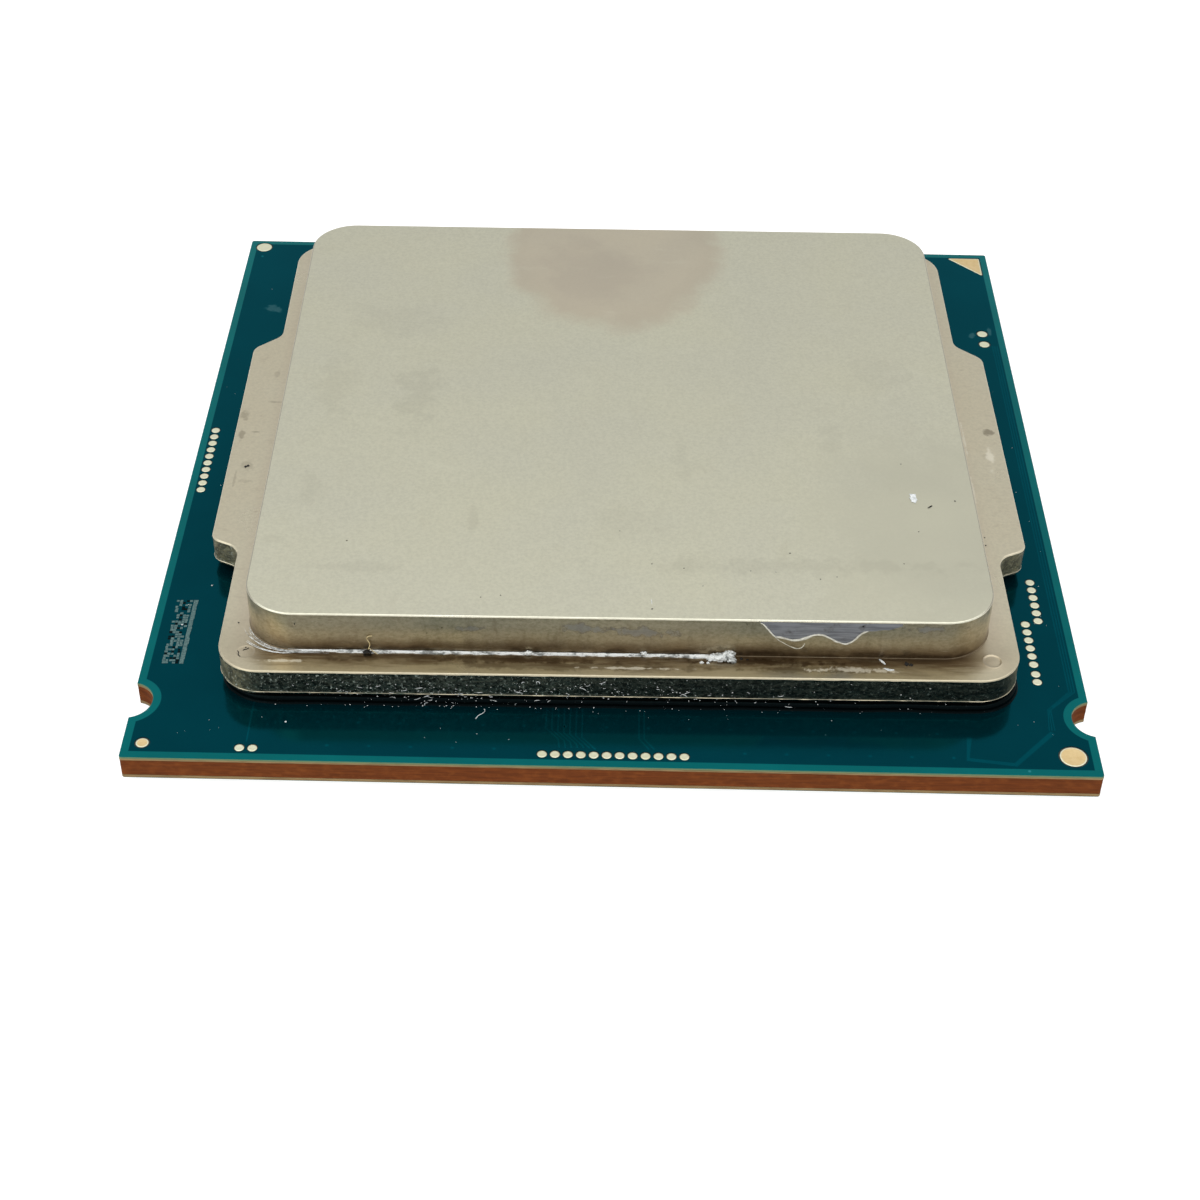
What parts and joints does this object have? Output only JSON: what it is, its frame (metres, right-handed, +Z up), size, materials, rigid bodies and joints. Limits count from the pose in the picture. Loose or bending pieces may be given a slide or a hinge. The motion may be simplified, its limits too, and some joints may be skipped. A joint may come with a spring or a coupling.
{
  "type": "cpu processor",
  "caption": "Square land-grid processor package: stepped nickel-plated heat spreader with side ears on a notched laminate board with contact lands and capacitors underneath.",
  "frame": {"origin": "middle of the board in plan, level with the bottoms of the land-side capacitors", "axes": "+Z up out of the heat spreader, +X right and +Y back when the two keying notches are near the front corners"},
  "size_m": [0.0376, 0.0376, 0.005],
  "materials": {
    "nickel_plate": "satin nickel plating over copper, fine blasted grain",
    "lid_sealant": "black silicone, slightly glossy",
    "solder_mask": "dark teal lacquer, glossy",
    "buildup_resin": "tan cut resin layers",
    "core_laminate": "rust-brown cut glass-fibre laminate",
    "copper": "bare copper foil",
    "gold": "pale gold plating over copper",
    "silicon": "ground silicon, dark grey",
    "solder": "dull solder",
    "underfill_resin": "dark filled epoxy",
    "capacitor": "brown ceramic body with matt tin ends"
  },
  "bodies": {
    "root": {"land_field": "gold", "bottom_solder_mask": "solder_mask", "lower_buildup": "buildup_resin", "lower_copper_plane": "copper", "core_laminate": "core_laminate", "upper_copper_plane": "copper", "upper_buildup": "buildup_resin", "top_solder_mask": "solder_mask", "pin_one_triangle": "gold", "front_left_fiducial": "gold", "front_right_pad": "gold", "back_left_pad": "gold", "right_edge_pad_back": "gold", "right_edge_pad_front": "gold", "solder_bumps": "solder", "silicon_die": "silicon", "underfill": "underfill_resin", "thermal_solder": "solder", "lid_sealant": "lid_sealant", "heat_spreader": "nickel_plate", "land_side_capacitor_01": "capacitor", "land_side_capacitor_02": "capacitor", "land_side_capacitor_03": "capacitor", "land_side_capacitor_04": "capacitor", "land_side_capacitor_05": "capacitor", "land_side_capacitor_06": "capacitor", "land_side_capacitor_07": "capacitor", "land_side_capacitor_08": "capacitor", "land_side_capacitor_09": "capacitor", "land_side_capacitor_10": "capacitor", "land_side_capacitor_11": "capacitor", "land_side_capacitor_12": "capacitor", "land_side_capacitor_13": "capacitor", "land_side_capacitor_14": "capacitor", "land_side_capacitor_15": "capacitor", "land_side_capacitor_16": "capacitor", "land_side_capacitor_17": "capacitor", "land_side_capacitor_18": "capacitor", "land_side_capacitor_19": "capacitor", "land_side_capacitor_20": "capacitor", "land_side_capacitor_21": "capacitor", "land_side_capacitor_22": "capacitor", "land_side_capacitor_23": "capacitor", "land_side_capacitor_24": "capacitor"}
  },
  "joints": []
}
